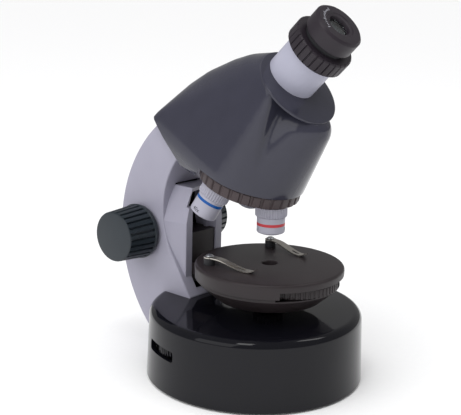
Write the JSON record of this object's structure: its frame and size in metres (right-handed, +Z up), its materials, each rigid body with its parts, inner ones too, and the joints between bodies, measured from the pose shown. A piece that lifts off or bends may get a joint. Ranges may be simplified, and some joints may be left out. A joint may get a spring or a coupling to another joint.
{
  "type": "student microscope",
  "caption": "Upright student microscope: lamp base, curved arm, focusing stage with clips and filter wheel, tilted objective turret, hooded head and inclined zoom eyepiece.",
  "frame": {"origin": "centre of the drum base at floor level, where the rubber feet stand", "axes": "+Z up, -Y towards the user (the eyepiece leans that way), X along the focus shaft"},
  "size_m": [0.1324, 0.1642, 0.2263],
  "materials": {
    "gloss_black": "gloss moulded ABS, near black",
    "black_plastic": "matt moulded plastic",
    "rubber": "matt",
    "steel": "bright turned or stamped steel",
    "cells": "printed sleeve",
    "board": "solder resist",
    "lamp_glow": "clear epoxy",
    "white_plastic": "white moulded plastic",
    "smoke_window": "smoked clear plastic",
    "grey_satin": "satin moulded plastic, lavender grey",
    "nylon": "natural nylon or acetal",
    "knob_plastic": "fine grained moulded plastic, slate",
    "stage_plastic": "fine grained moulded plastic, brown black",
    "lens_glass": "polished and coated",
    "filter_film": "coloured clear plastic",
    "turret_plastic": "fine grained moulded plastic",
    "objective_grey": "satin moulded plastic, light grey",
    "band_red": "printed ring",
    "band_yellow": "printed ring",
    "band_blue": "printed ring",
    "gloss_charcoal": "gloss moulded ABS, charcoal",
    "mirror_glass": "silvered",
    "tube_grey": "satin moulded plastic, light grey",
    "eyepiece_black": "fine grained moulded plastic"
  },
  "bodies": {
    "stand": {"base_shell": "gloss_black", "base_plate": "black_plastic", "battery_door": "black_plastic", "rubber_feet": "rubber", "base_screws": "steel", "battery_tray": "black_plastic", "batteries": "cells", "battery_contacts": "steel", "lamp_board": "board", "lamp": "lamp_glow", "lamp_cup": "white_plastic", "lamp_window": "smoke_window", "dimmer_pot": "board", "arm_left": "grey_satin", "arm_right": "grey_satin", "arm_screws": "steel", "column": "grey_satin", "shaft_bushes": "nylon", "turret_axle": "steel", "turret_detent": "steel", "head_frame": "black_plastic", "head_shell": "gloss_charcoal", "head_screws": "steel", "mirror": "mirror_glass", "mirror_bracket": "black_plastic", "eyepiece_tube": "tube_grey"},
    "dimmer": {"dimmer_wheel": "black_plastic"},
    "focus": {"focus_shaft": "steel", "pinion": "nylon", "knob_left": "knob_plastic", "knob_right": "knob_plastic"},
    "stage": {"rack": "nylon", "stage_carrier": "stage_plastic", "stage_plate": "stage_plastic", "stage_housing": "stage_plastic", "condenser_cell": "stage_plastic", "condenser_lens": "lens_glass", "clip_posts": "black_plastic", "clip_rivets": "steel", "wheel_screw": "steel"},
    "left_clip": {"clip_left": "steel"},
    "right_clip": {"clip_right": "steel"},
    "filter_disc": {"filter_wheel": "stage_plastic", "filters": "filter_film"},
    "turret": {"turret_disc": "turret_plastic", "objective_low": "objective_grey", "objective_medium": "objective_grey", "objective_high": "objective_grey", "band_low": "band_red", "band_medium": "band_yellow", "band_high": "band_blue", "objective_lenses": "lens_glass"},
    "zoom": {"zoom_ring": "eyepiece_black"},
    "eyepiece": {"eyepiece_sleeve": "black_plastic", "eyepiece_cap": "eyepiece_black", "eye_lens": "lens_glass", "field_lens": "lens_glass"}
  },
  "joints": [
    {"name": "stage_slide", "type": "slide", "parent": "stand", "child": "stage", "axis": [0, 0, 1], "range_m": [-0.002, 0.012]},
    {"name": "focus_turn", "type": "hinge", "parent": "stand", "child": "focus", "pos_m": [0, 0.079, 0.0793], "axis": [1, 0, 0], "range_deg": [-143.3, 23.9]},
    {"name": "dimmer_turn", "type": "hinge", "parent": "stand", "child": "dimmer", "pos_m": [-0.04586, 0.01579, 0.0248], "axis": [0, 0, 1], "range_deg": [0, 270]},
    {"name": "left_clip_swing", "type": "hinge", "parent": "stage", "child": "left_clip", "pos_m": [-0.0286, 0.013, 0.0768], "axis": [0, 0, 1], "range_deg": [-35, 20]},
    {"name": "right_clip_swing", "type": "hinge", "parent": "stage", "child": "right_clip", "pos_m": [0.0286, 0.013, 0.0768], "axis": [0, 0, 1], "range_deg": [-20, 35]},
    {"name": "filter_turn", "type": "hinge", "parent": "stage", "child": "filter_disc", "pos_m": [0, -0.0243, 0.0646], "axis": [0, 0, 1], "continuous": true},
    {"name": "turret_turn", "type": "hinge", "parent": "stand", "child": "turret", "pos_m": [0, 0.0077, 0.1168], "axis": [0, -0.2924, 0.9563], "continuous": true},
    {"name": "eyepiece_slide", "type": "slide", "parent": "stand", "child": "eyepiece", "axis": [0, -0.7071, 0.7071], "range_m": [-0.002, 0.008]},
    {"name": "zoom_turn", "type": "hinge", "parent": "stand", "child": "zoom", "pos_m": [0, -0.01, 0.1732], "axis": [0, -0.7071, 0.7071], "range_deg": [-30.1, 120.1]}
  ],
  "couplings": [
    {"joint": "focus_turn", "follows": "stage_slide", "rad_per_m": -208.33},
    {"joint": "zoom_turn", "follows": "eyepiece_slide", "rad_per_m": 261.8}
  ]
}
